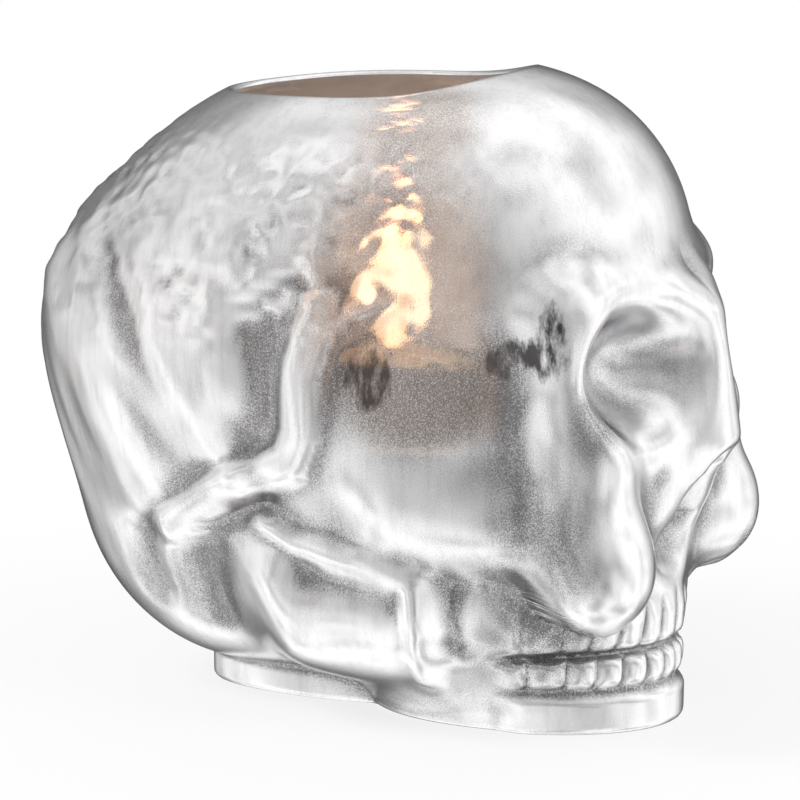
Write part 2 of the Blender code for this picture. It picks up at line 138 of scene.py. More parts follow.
def squashed(tree: bpy.types.NodeTree, place: bpy.types.NodeSocket, ratio: float) -> bpy.types.NodeSocket:
    """Place with its height scaled, so that noise there is drawn out upright below 1 and flat above it."""
    return add_node(tree, "ShaderNodeMapping", {"Vector": place},
                    {"Scale": (1.0, 1.0, ratio)}).outputs["Vector"]


def ranged(tree: bpy.types.NodeTree, value: bpy.types.NodeSocket, before: Span = (0.0, 1.0),
           after: Span = (0.0, 1.0)) -> bpy.types.NodeSocket:
    """Value carried from one range to another, and held at its ends."""
    return add_node(tree, "ShaderNodeMapRange", {"Value": value},
                    {"From Min": before[0], "From Max": before[1], "To Min": after[0],
                     "To Max": after[1]}).outputs["Result"]


def product(tree: bpy.types.NodeTree, first: bpy.types.NodeSocket,
            second: bpy.types.NodeSocket) -> bpy.types.NodeSocket:
    """Two values multiplied."""
    return add_node(tree, "ShaderNodeMath", {0: first, 1: second}, operation="MULTIPLY").outputs[0]


def tinted(tree: bpy.types.NodeTree, share: bpy.types.NodeSocket, low: str,
           high: str) -> bpy.types.NodeSocket:
    """Colour between two hex values."""
    return add_node(tree, "ShaderNodeMix", {"Factor": share}, {6: linear_colour(low), 7: linear_colour(high)},
                    data_type="RGBA").outputs[2]


def bumped(tree: bpy.types.NodeTree, height: bpy.types.NodeSocket, distance: float) -> bpy.types.NodeSocket:
    """Normal that follows a height, which is as deep as the distance."""
    return add_node(tree, "ShaderNodeBump", {"Height": height},
                    {"Strength": 1.0, "Distance": distance}).outputs["Normal"]


def blank_material(name: str) -> tuple[bpy.types.Material, bpy.types.NodeTree, bpy.types.Node]:
    """New material with its tree and its Principled shader."""
    made = bpy.data.materials.new(name)
    made.use_nodes = True
    return made, made.node_tree, made.node_tree.nodes["Principled BSDF"]


def placed(name: str, data: bpy.types.ID) -> bpy.types.Object:
    """New object in the scene."""
    made = bpy.data.objects.new(name, data)
    bpy.context.scene.collection.objects.link(made)
    return made


@dataclass(frozen=True)
class SilveredGlass:
    """Pressed soda glass with a thin silver coat on its outside, left satin.

    The coat sends most light back a little blurred, and where it is thin it lets the candle show as a warm
    haze. Its colour carries painted shade: darker grey in the hollows, in the mould's folds and at given
    spots, where dark reflections are painted, and along upright streaks of wear. Its grain of about 0.3 mm
    breaks the painted shade, the wear and the thin places into specks, and where it is torn it is dark.
    """

    coat: str = "FAFAFB"
    # The darker grey that the coat takes as painted shade, along streaks of wear and where it is thin.
    dull: str = "858486"
    bare: str = "565455"
    cover: float = 0.93
    cover_thin: float = 0.22
    thin_grey: float = 0.35
    roughness: float = 0.11
    roughness_spread: Span = (0.8, 1.25)
    clear_roughness: float = 0.08
    grain_size: float = 0.00028
    grain_height: float = 0.000032
    grain_span: Span = (0.36, 0.64)
    specks: Span = (0.62, 1.38)
    pinholes: Span = (0.30, 1.50)
    patch_size: float = 0.016
    patch_span: Span = (0.3, 0.7)
    streak_width: float = 0.0022
    streak_ratio: float = 0.12
    streak_span: Span = (0.45, 0.72)
    streak_depth: float = 0.13
    even_dulling: float = 0.04
    tear_width: float = 0.0022
    tear_ratio: float = 0.40
    tear_span: Span = (0.82, 1.04)
    ior: float = 1.5

    def broken(self, tree: bpy.types.NodeTree, weight: bpy.types.NodeSocket, grain: bpy.types.NodeSocket,
               spread: Span) -> bpy.types.NodeSocket:
        """A weight of the coat, broken up by its grain."""
        specks = ranged(tree, grain, self.grain_span, spread)
        return add_node(tree, "ShaderNodeMath", {0: weight, 1: specks}, operation="MULTIPLY",
                        use_clamp=True).outputs[0]

    def build(self) -> bpy.types.Material:
        """Material of the coated outside."""
        made, tree, shader = blank_material("silvered_soda_glass")
        place = object_place(tree)
        # Weights on the mesh: painted shade of the hollows, folds and given spots, thin places and torn
        # places.
        painted_shade_and_wear, thinned, torn = (add_node(tree, "ShaderNodeAttribute", attribute_name=name).outputs["Fac"]
                                 for name in ("painted_shade_and_wear", "thinned", "torn"))
        grain = noise(tree, place, self.grain_size, roughness=0.6)
        streaks = noise(tree, squashed(tree, place, self.streak_ratio), self.streak_width, 3.0, 0.6)
        # Upright streaks of wear and an even darkening, added to the painted shade below.
        worn = ranged(tree, streaks, self.streak_span,
                      (self.even_dulling, self.even_dulling + self.streak_depth))
        painted_shade_and_wear = add_node(tree, "ShaderNodeMath", {0: painted_shade_and_wear, 1: worn}, operation="ADD").outputs[0]
        painted_shade_and_wear_specks = self.broken(tree, painted_shade_and_wear, grain, self.specks)
        thin_specks = self.broken(tree, thinned, grain, self.pinholes)
        cover = ranged(tree, thin_specks, after=(self.cover, self.cover_thin))
        greyed = add_node(tree, "ShaderNodeMath", {0: thin_specks, 2: painted_shade_and_wear_specks}, {1: self.thin_grey},
                          operation="MULTIPLY_ADD", use_clamp=True).outputs[0]
        tears = noise(tree, squashed(tree, place, self.tear_ratio), self.tear_width, 4.0, 0.65)
        torn = add_node(tree, "ShaderNodeMath", {0: torn, 1: tears}, operation="ADD").outputs[0]
        # The coat colour goes to the darker grey where the painted shade, the wear and the thin places are,
        # and to bare grey where it is torn.
        tint = add_node(tree, "ShaderNodeMix", {"Factor": ranged(tree, torn, self.tear_span),
                                                6: tinted(tree, greyed, self.coat, self.dull)},
                        {7: linear_colour(self.bare)}, data_type="RGBA").outputs[2]
        least, most = self.roughness_spread
        haze = ranged(tree, noise(tree, place, self.patch_size, 3.0, 0.55), self.patch_span,
                      (self.roughness * least, self.roughness * most))
        haze = add_node(tree, "ShaderNodeMix", {"Factor": thinned, 2: haze},
                        {3: self.clear_roughness}).outputs[0]
        feed(tree, shader, {"Base Color": tint, "Metallic": cover, "Roughness": haze,
                            "Normal": bumped(tree, grain, self.grain_height)},
             {"Transmission Weight": 1.0, "IOR": self.ior})
        return made


@dataclass(frozen=True)
class ClearGlass:
    """Bare soda glass of the well, fire polished, warm grey and wavy.

    Its glow stands for candle light that spreads inside the glass.
    """

    tint: str = "D3C1B1"
    roughness: float = 0.03
    wave_size: float = 0.008
    wave_height: float = 0.00080
    wave_squash: float = 2.0
    glow: str = "BFA694"
    glow_strength: float = 0.34
    ior: float = 1.5

    def build(self) -> bpy.types.Material:
        """Material of the uncoated well."""
        made, tree, shader = blank_material("fire_polished_soda_glass")
        waves = noise(tree, squashed(tree, object_place(tree), self.wave_squash), self.wave_size)
        feed(tree, shader, {"Normal": bumped(tree, waves, self.wave_height)},
             {"Base Color": linear_colour(self.tint), "Roughness": self.roughness,
              "Emission Color": linear_colour(self.glow), "Emission Strength": self.glow_strength,
              "Transmission Weight": 1.0, "IOR": self.ior})
        return made


@dataclass(frozen=True)
class PressedAluminium:
    """Thin aluminium sheet, drawn to a cup: dark brownish grey as painted shade, with faint upright draw
    lines 0.4 mm apart.
    """

    # Dark brownish grey, painted shade of the cup deep in the well.
    colour: str = "5E5352"
    colour_low: str = "443C3B"
    roughness: float = 0.28
    line_spacing: float = 0.0004
    line_ratio: float = 0.05
    line_height: float = 0.00002

    def build(self) -> bpy.types.Material:
        """Material of the tea light's cup."""
        made, tree, shader = blank_material("pressed_aluminium")
        lines = noise(tree, squashed(tree, object_place(tree), self.line_ratio), self.line_spacing)
        feed(tree, shader, {"Base Color": tinted(tree, lines, self.colour_low, self.colour),
                            "Normal": bumped(tree, lines, self.line_height)},
             {"Metallic": 1.0, "Roughness": self.roughness})
        return made


@dataclass(frozen=True)
class ParaffinWax:
    """Paraffin wax, poured and partly molten: creamy, lit from inside, with a wet pool on top."""

    colour: str = "F4E9D2"
    colour_deep: str = "E9D6B4"
    cloud_size: float = 0.006
    roughness: float = 0.22
    depth: float = 0.003
    lit_inside: float = 0.6
    wetness: float = 0.4

    def build(self) -> bpy.types.Material:
        """Material of the wax cake."""
        made, tree, shader = blank_material("paraffin_wax")
        clouds = noise(tree, object_place(tree), self.cloud_size)
        feed(tree, shader, {"Base Color": tinted(tree, clouds, self.colour_deep, self.colour)},
             {"Roughness": self.roughness, "Subsurface Weight": self.lit_inside,
              "Subsurface Scale": self.depth, "Coat Weight": self.wetness})
        return made


@dataclass(frozen=True)
class CharredCotton:
    """Braided cotton wick, white and waxed below and charred black where it burns."""

    cotton: str = "D8CDB8"
    char: str = "14110F"
    roughness: float = 0.85
    braid_spacing: float = 0.0007
    braid_depth: float = 0.0002
    char_span: Span = (0.0666, 0.0678)

    def build(self) -> bpy.types.Material:
        """Material of the wick."""
        made, tree, shader = blank_material("charred_cotton")
        place = object_place(tree)
        height = add_node(tree, "ShaderNodeSeparateXYZ", {"Vector": place}).outputs["Z"]
        burnt = ranged(tree, height, self.char_span)
        braid = noise(tree, place, self.braid_spacing)
        feed(tree, shader, {"Base Color": tinted(tree, burnt, self.cotton, self.char),
                            "Normal": bumped(tree, braid, self.braid_depth)}, {"Roughness": self.roughness})
        return made


@dataclass(frozen=True)
class TinnedSteel:
    """Thin tinned steel of the wick's clip, dull silver with a fine rolled grain."""

    colour: str = "A9AAAC"
    roughness: float = 0.35
    roughness_spread: Span = (0.7, 1.3)
    grain_size: float = 0.0005

    def build(self) -> bpy.types.Material:
        """Material of the clip."""
        made, tree, shader = blank_material("tinned_steel")
        least, most = self.roughness_spread
        dull = ranged(tree, noise(tree, object_place(tree), self.grain_size),
                      after=(self.roughness * least, self.roughness * most))
        feed(tree, shader, {"Roughness": dull}, {"Base Color": linear_colour(self.colour), "Metallic": 1.0})
        return made


@dataclass(frozen=True)
class FlameGlow:
    """Candle flame, a thin glowing body of gas: amber at its foot and cream above."""

    heart: str = "FFE3C0"
    edge: str = "FFBE80"
    strength: float = 2.8
    brightening: Span = (0.0690, 0.0760)
    foot_share: float = 0.1

    def build(self) -> bpy.types.Material:
        """Material of the flame."""
        made, tree, shader = blank_material("candle_flame")
        height = add_node(tree, "ShaderNodeSeparateXYZ", {"Vector": object_place(tree)}).outputs["Z"]
        lit = ranged(tree, height, self.brightening, (self.foot_share, 1.0))
        feed(tree, shader, {"Emission Color": tinted(tree, lit, self.edge, self.heart)},
             {"Base Color": linear_colour(self.edge), "Roughness": 1.0, "Emission Strength": self.strength})
        return made


@dataclass(frozen=True)
class Ball:
    """Ellipsoid of the form, by its centre and radii, with a turn outwards about Z."""

    centre: Point
    radii: Point
    turn: float = 0.0

    def distance(self, points: np.ndarray) -> np.ndarray:
        """Distance to the skin, close to true near it and negative inside."""
        cosine, sine = math.cos(self.turn), math.sin(self.turn)
        axes = np.array([[cosine, -sine, 0.0], [sine, cosine, 0.0], [0.0, 0.0, 1.0]])
        scaled = (points - np.array(self.centre)) @ axes / np.array(self.radii)
        reach = np.linalg.norm(scaled, axis=1) + TINY
        slope = np.linalg.norm(scaled / np.array(self.radii), axis=1) + TINY
        return reach * (reach - 1.0) / slope


@dataclass(frozen=True)
class Bar:
    """Round bar of the form, by its two ends and the radius at each."""

    start: Point
    end: Point
    start_radius: float
    end_radius: float

    def distance(self, points: np.ndarray) -> np.ndarray:
        """Distance to the skin, negative inside."""
        start = np.array(self.start)
        along = np.array(self.end) - start
        share = np.clip((points - start) @ along / (along @ along), 0.0, 1.0)
        nearest = start + share[:, None] * along
        radius = self.start_radius + share * (self.end_radius - self.start_radius)
        return np.linalg.norm(points - nearest, axis=1) - radius


@dataclass(frozen=True)
class Column:
    """Upright column with an oval plan and a rounded top, narrower below its widest height."""

    centre_y: float
    half_width: float
    half_length: float
    top: float
    rounding: float
    foot_half_width: float | None = None
    widest_height: float = 0.02

    def distance(self, points: np.ndarray) -> np.ndarray:
        """Distance to the skin, negative inside."""
        half_width = np.full(len(points), self.half_width)
        if self.foot_half_width is not None:
            rise = np.clip(points[:, 2] / self.widest_height, 0.0, 1.0)
            half_width = self.foot_half_width + (self.half_width - self.foot_half_width) * rise
        across, along = points[:, 0] / half_width, (points[:, 1] - self.centre_y) / self.half_length
        reach = np.hypot(across, along) + TINY
        slope = np.hypot(across / half_width, along / self.half_length) + TINY
        side = reach * (reach - 1.0) / slope + self.rounding
        rise = points[:, 2] - self.top + self.rounding
        outer = np.hypot(np.maximum(side, 0.0), np.maximum(rise, 0.0))
        return np.minimum(np.maximum(side, rise), 0.0) + outer - self.rounding


@dataclass(frozen=True)
class Ridge:
    """Ridge, or hollow where its height is below zero, along a line of (y, z) points on the skull's side."""

    line: tuple[Span, ...]
    half_width: float
    height: float
    flatness: float = 2.0

    def rise(self, points: np.ndarray) -> np.ndarray:
        """How far the skin stands out at each point."""
        nearest = np.full(len(points), np.inf)
        for start, end in zip(np.array(self.line[:-1]), np.array(self.line[1:])):
            along = end - start
            share = np.clip((points[:, 1:] - start) @ along / (along @ along), 0.0, 1.0)
            gap = points[:, 1:] - start - share[:, None] * along
            nearest = np.minimum(nearest, np.linalg.norm(gap, axis=1))
        return self.height * np.exp(-(nearest / self.half_width) ** self.flatness)


def join(first: np.ndarray, second: np.ndarray, blend: float) -> np.ndarray:
    """Union of two distances, with a fillet of about the blend's size."""
    overlap = np.maximum(blend - np.abs(first - second), 0.0) / blend
    return np.minimum(first, second) - overlap ** 2 * blend / 4.0


def cut(body: np.ndarray, cutter: np.ndarray, blend: float) -> np.ndarray:
    """First distance with the second taken out of it, and the edge eased."""
    return -join(-body, cutter, blend)


def smooth(share: np.ndarray) -> np.ndarray:
    """Goes from 0 to 1 as the share does, level at both ends."""
    return share * share * (3.0 - 2.0 * share)


def ease(values: np.ndarray, start: float, end: float) -> np.ndarray:
    """Goes smoothly from 0 at the start to 1 at the end, and is held beyond them."""
    return smooth(np.clip((values - start) / (end - start), 0.0, 1.0))


@dataclass
class Lumps:
    """Smooth noise from -1 to 1, for the waves and hammer marks of the mould.

    Attributes:
        spacing: distance between lumps along X, Y and Z.
        seed: picks one pattern.
        lean: how far the pattern moves along Y for each step up.
        cells: lumps along each axis before the pattern comes again.
    """

    spacing: Point
    seed: int
    lean: float = 0.0
    cells: int = 48

    def height(self, points: np.ndarray) -> np.ndarray:
        """Noise at each point."""
        table = np.random.default_rng(self.seed).uniform(-1.0, 1.0, (self.cells,) * 3)
        upright = points - np.outer(points[:, 2] * self.lean, [0.0, 1.0, 0.0])
        place = upright / np.array(self.spacing) + self.cells / 2.0
        corner = np.floor(place).astype(int)
        share = smooth(place - corner)
        total = np.zeros(len(points))
        for step in np.ndindex(2, 2, 2):
            weight = np.prod(np.where(np.array(step) == 1, share, 1.0 - share), axis=1)
            cell = (corner + step) % self.cells
            total += weight * table[cell[:, 0], cell[:, 1], cell[:, 2]]
        return total


@dataclass
class Teeth:
    """Two rows of teeth and the lip of the foot, standing out of the jaw's column.

    Attributes:
        jaw: the column that the rows follow.
        upper_widths: width of each upper tooth, from the middle outwards.
        lower_widths: the same for the lower teeth.
        lip_height: top of the foot's lip.
        bite_height: where the two rows meet.
        gum_height: where the upper row ends.
        row_edge: how much height a row takes to rise from what is beside it.
        gap_depth: how deep the gap between two teeth is.
    """

    jaw: Column
    upper_widths: tuple[float, ...] = (0.0062, 0.0052, 0.0058, 0.0054, 0.0054, 0.0075, 0.0075)
    lower_widths: tuple[float, ...] = (0.0046, 0.0050, 0.0056, 0.0056, 0.0058, 0.0078, 0.0078)
    lip_height: float = 0.0075
    lip_proud: float = 0.0014
    groove_depth: float = 0.0004
    lower_proud: float = 0.0011
    arch_steps: int = 90
    bite_height: float = 0.0158
    bite_depth: float = 0.0009
    upper_proud: float = 0.0012
    gum_height: float = 0.0245
    row_edge: float = 0.0015
    gap_depth: float = 0.0011

    def along_arch(self, half: np.ndarray) -> np.ndarray:
        """Distance of each point along the arch from its middle."""
        wide, long = self.jaw.half_width, self.jaw.half_length
        turn = np.arctan2(half[:, 0] / wide, (self.jaw.centre_y - half[:, 1]) / long)
        turns = np.linspace(0.0, math.pi, self.arch_steps + 1)
        lengths = np.hypot(wide * np.cos(turns), long * np.sin(turns))
        arch = np.concatenate([[0.0], np.cumsum((lengths[1:] + lengths[:-1]) / 2.0 * np.diff(turns))])
        return np.interp(turn, turns, arch)

    @staticmethod
    def crowns(along: np.ndarray, widths: tuple[float, ...]) -> np.ndarray:
        """1 at the middle of each tooth and 0 where two teeth meet."""
        borders = np.concatenate([[0.0], np.cumsum(widths)])
        tooth = np.clip(np.searchsorted(borders, along) - 1, 0, len(widths) - 1)
        across = (along - borders[tooth]) / np.array(widths)[tooth]
        return np.sqrt(np.abs(np.sin(math.pi * np.clip(across, 0.0, 1.0))))

    def rise(self, half: np.ndarray) -> np.ndarray:
        """How far the lip and the teeth stand out at each point."""
        height = half[:, 2]
        along = self.along_arch(half)
        edge, lip_top, bite, gum = self.row_edge, self.lip_height, self.bite_height, self.gum_height
        lip = 1.0 - ease(height, lip_top - edge, lip_top + edge)
        lower = ease(height, lip_top, lip_top + 2.0 * edge) * (1.0 - ease(height, bite - edge, bite))
        upper = ease(height, bite, bite + edge) * (1.0 - ease(height, gum - 2.0 * edge, gum + 2.0 * edge))
        relief = self.lip_proud * lip - self.groove_depth * np.exp(-((height - lip_top - edge) / edge) ** 2)
        relief -= self.bite_depth * np.exp(-((height - bite) / edge) ** 2)
        relief += lower * (self.lower_proud - self.gap_depth * (1.0 - self.crowns(along, self.lower_widths)))
        relief += upper * (self.upper_proud - self.gap_depth * (1.0 - self.crowns(along, self.upper_widths)))
        last = sum(self.lower_widths)
        return relief * (1.0 - ease(along, last - self.lower_widths[-1], last))


@dataclass
class SkullForm:
    """The skull's outer skin as one form: smooth unions and cuts of simple bodies about the plane X = 0.

    Only the mould's hammer marks and folds differ from side to side.

    Attributes:
        relief_start: distance from the plane where the side's ridges and hollows begin.
        relief_full: distance from it where they are full.
        crown_front: along Y, where the hammer marks begin and are full.
        crown_foot: in height, the same.
        crown_top: in height, where they fade again and end.
        fold_front: along Y, where the folds begin and are full.
        fold_foot: in height, the same.
        fold_top: in height, where they fade again and end.
    """

    braincase: tuple[Ball, ...] = (
        Ball((0.0, 0.0116, 0.0725), (0.0490, 0.0619, 0.0445)),
        Ball((0.0, -0.0222, 0.0874), (0.0442, 0.0345, 0.0371)),
        Ball((0.0, 0.0059, 0.0947), (0.0448, 0.0416, 0.0309)),
        Ball((0.0, 0.0288, 0.0448), (0.0353, 0.0375, 0.0402)),
        Ball((0.0, -0.0126, 0.0560), (0.0446, 0.0462, 0.0343)),
        Ball((0.0, -0.0087, 0.0271), (0.0415, 0.0365, 0.0240)),
    )
    braincase_blend: float = 0.0120
    midface: Ball = Ball((0.0, -0.0425, 0.0550), (0.0370, 0.0195, 0.0290))
    jaw: Column = Column(-0.0260, 0.0255, 0.0303, 0.0300, 0.0030, 0.0210, 0.0200)
    cheekbone: Ball = Ball((0.0338, -0.0526, 0.0355), (0.0100, 0.0094, 0.0102))
    bridge: Bar = Bar((0.0, -0.0588, 0.0780), (0.0, -0.0616, 0.0560), 0.0062, 0.0068)
    brow: Bar = Bar((0.0090, -0.0530, 0.0800), (0.0275, -0.0465, 0.0825), 0.0070, 0.0068)
    margin: Bar = Bar((0.0335, -0.0435, 0.0830), (0.0320, -0.0500, 0.0590), 0.0062, 0.0065)
    cheek: Bar = Bar((0.0325, -0.0490, 0.0590), (0.0345, -0.0505, 0.0430), 0.0060, 0.0060)
    arch: Bar = Bar((0.0290, -0.0470, 0.0420), (0.0385, -0.0150, 0.0470), 0.0080, 0.0055)
    buttress: Bar = Bar((0.0285, -0.0505, 0.0350), (0.0080, -0.0430, 0.0250), 0.0078, 0.0040)
    face_blend: float = 0.0090
    orbit: Ball = Ball((0.0240, -0.0655, 0.0715), (0.0165, 0.0210, 0.0128), math.radians(15.0))
    canine_hollow: Ball = Ball((0.0205, -0.0680, 0.0470), (0.0065, 0.0090, 0.0100))
    nose_opening: Bar = Bar((0.0, -0.0650, 0.0500), (0.0, -0.0640, 0.0385), 0.0040, 0.0118)
    orbit_blend: float = 0.0070
    cut_blend: float = 0.0040
    foot: Column = Column(0.0100, 0.0120, 0.0301, 0.0100, 0.0010)
    relief_start: float = 0.0160
    relief_full: float = 0.0280
    ridges: tuple[Ridge, ...] = (
        Ridge(((-0.0040, 0.0840), (0.0005, 0.0720), (0.0015, 0.0600), (0.0040, 0.0545), (0.0120, 0.0505),
               (0.0210, 0.0460), (0.0320, 0.0380)), 0.0042, 0.0021, 4.0),
        Ridge(((-0.0040, 0.0840), (-0.0020, 0.0930)), 0.0028, 0.0010),
        Ridge(((-0.0040, 0.0800), (-0.0140, 0.0870)), 0.0026, 0.0015),
        Ridge(((0.0130, 0.0410), (0.0050, 0.0370), (-0.0080, 0.0350), (-0.0170, 0.0320)), 0.0034, 0.0014),
        Ridge(((-0.0180, 0.0310), (-0.0195, 0.0220), (-0.0175, 0.0110)), 0.0028, 0.0016),
        Ridge(((0.0120, 0.0290), (0.0080, 0.0170)), 0.0080, 0.0032),
    )
    hollows: tuple[Ridge, ...] = (
        Ridge(((0.0100, 0.0780), (0.0090, 0.0600)), 0.0060, -0.0026),
        Ridge(((0.0120, 0.0450), (0.0250, 0.0395)), 0.0030, -0.0018),
        Ridge(((0.0030, 0.0315), (-0.0140, 0.0290)), 0.0045, -0.0011),
        Ridge(((-0.0250, 0.0300), (-0.0240, 0.0200)), 0.0038, -0.0020),
        Ridge(((0.0280, 0.0330), (0.0270, 0.0220)), 0.0062, -0.0020),
        Ridge(((0.0400, 0.0350), (0.0385, 0.0240)), 0.0046, -0.0016),
    )
    hammer_marks: Lumps = field(default_factory=lambda: Lumps((0.0024, 0.0024, 0.0024), 11))
    hammer_depth: float = 0.00036
    crown_front: Span = (-0.040, -0.012)
    crown_foot: Span = (0.068, 0.086)
    crown_top: Span = (0.106, 0.118)
    folds: Lumps = field(default_factory=lambda: Lumps((0.0075, 0.0075, 0.0280), 5, 0.5))
    fold_depth: float = 0.00120
    fold_front: Span = (-0.004, 0.012)
    fold_foot: Span = (0.034, 0.046)
    fold_top: Span = (0.084, 0.100)

    def side_relief(self, half: np.ndarray) -> np.ndarray:
        """How far the ridges and hollows on the side stand out at each point."""
        out = np.max([ridge.rise(half) for ridge in self.ridges], axis=0)
        sunk = np.min([hollow.rise(half) for hollow in self.hollows], axis=0)
        return (out + sunk) * ease(half[:, 0], self.relief_start, self.relief_full)

    def fold_height(self, points: np.ndarray) -> np.ndarray:
        """Soft folds of the mould at each point of the braincase's side and back, from -1 to 1."""
        wall = ease(points[:, 1], *self.fold_front) * ease(points[:, 2], *self.fold_foot)
        return wall * (1.0 - ease(points[:, 2], *self.fold_top)) * self.folds.height(points)

    def mould_marks(self, points: np.ndarray) -> np.ndarray:
        """How far the mould's hammer marks and folds stand out at each point."""
        crown = ease(points[:, 2], *self.crown_foot) * ease(points[:, 1], *self.crown_front)
        crown *= 1.0 - ease(points[:, 2], *self.crown_top)
        marks = self.hammer_depth * crown * self.hammer_marks.height(points)
        return marks + self.fold_depth * self.fold_height(points)

    def distance(self, points: np.ndarray) -> np.ndarray:
        """Distance of each point to the skin, negative inside."""
        half = points.copy()
        half[:, 0] = np.abs(half[:, 0])
        form = self.braincase[0].distance(half)
        for body in self.braincase[1:]:
            form = join(form, body.distance(half), self.braincase_blend)
        for body in (self.midface, self.jaw, self.cheekbone, self.bridge, self.brow, self.margin, self.cheek,
                     self.arch, self.buttress):
            form = join(form, body.distance(half), self.face_blend)
        form = cut(form, self.orbit.distance(half), self.orbit_blend)
        for body in (self.canine_hollow, self.nose_opening):
            form = cut(form, body.distance(half), self.cut_blend)
        form -= self.side_relief(half) + Teeth(self.jaw).rise(half) + self.mould_marks(points)
        return join(form, self.foot.distance(half), self.foot.rounding)


@dataclass(frozen=True)
class SoftSpot:
    """Round or oval spot of the coat, one on each side of the skull.

    Attributes:
        fading: in radii, where its edge starts to fade and where it ends.
    """

    centre: Point
    radii: Point
    strength: float
    fading: Span = (0.45, 1.25)

    def weight(self, half: np.ndarray) -> np.ndarray:
        """Weight of the spot at each point."""
        reach = np.linalg.norm((half - np.array(self.centre)) / np.array(self.radii), axis=1)
        return self.strength * (1.0 - ease(reach, *self.fading))


def softened(values: np.ndarray, spread: float, axis: int) -> np.ndarray:
    """Rings of values, averaged with their neighbours by a bell curve.

    Args:
        values: by ring, column and channel.
        spread: the curve's width, in steps of the mesh.
        axis: 0 to average over rings, 1 over columns.

    Returns:
        The averaged values.
    """
    reach = math.ceil(3.0 * spread)
    steps = np.arange(-reach, reach + 1)
    bell = np.exp(-0.5 * (steps / spread) ** 2)
    bell /= bell.sum()
    count = values.shape[axis]
    places = np.arange(count)
    total = np.zeros_like(values)
    for step, share in zip(steps, bell):
        moved = (places + step) % count if axis == 1 else np.clip(places + step, 0, count - 1)
        total += share * np.take(values, moved, axis=axis)
    return total


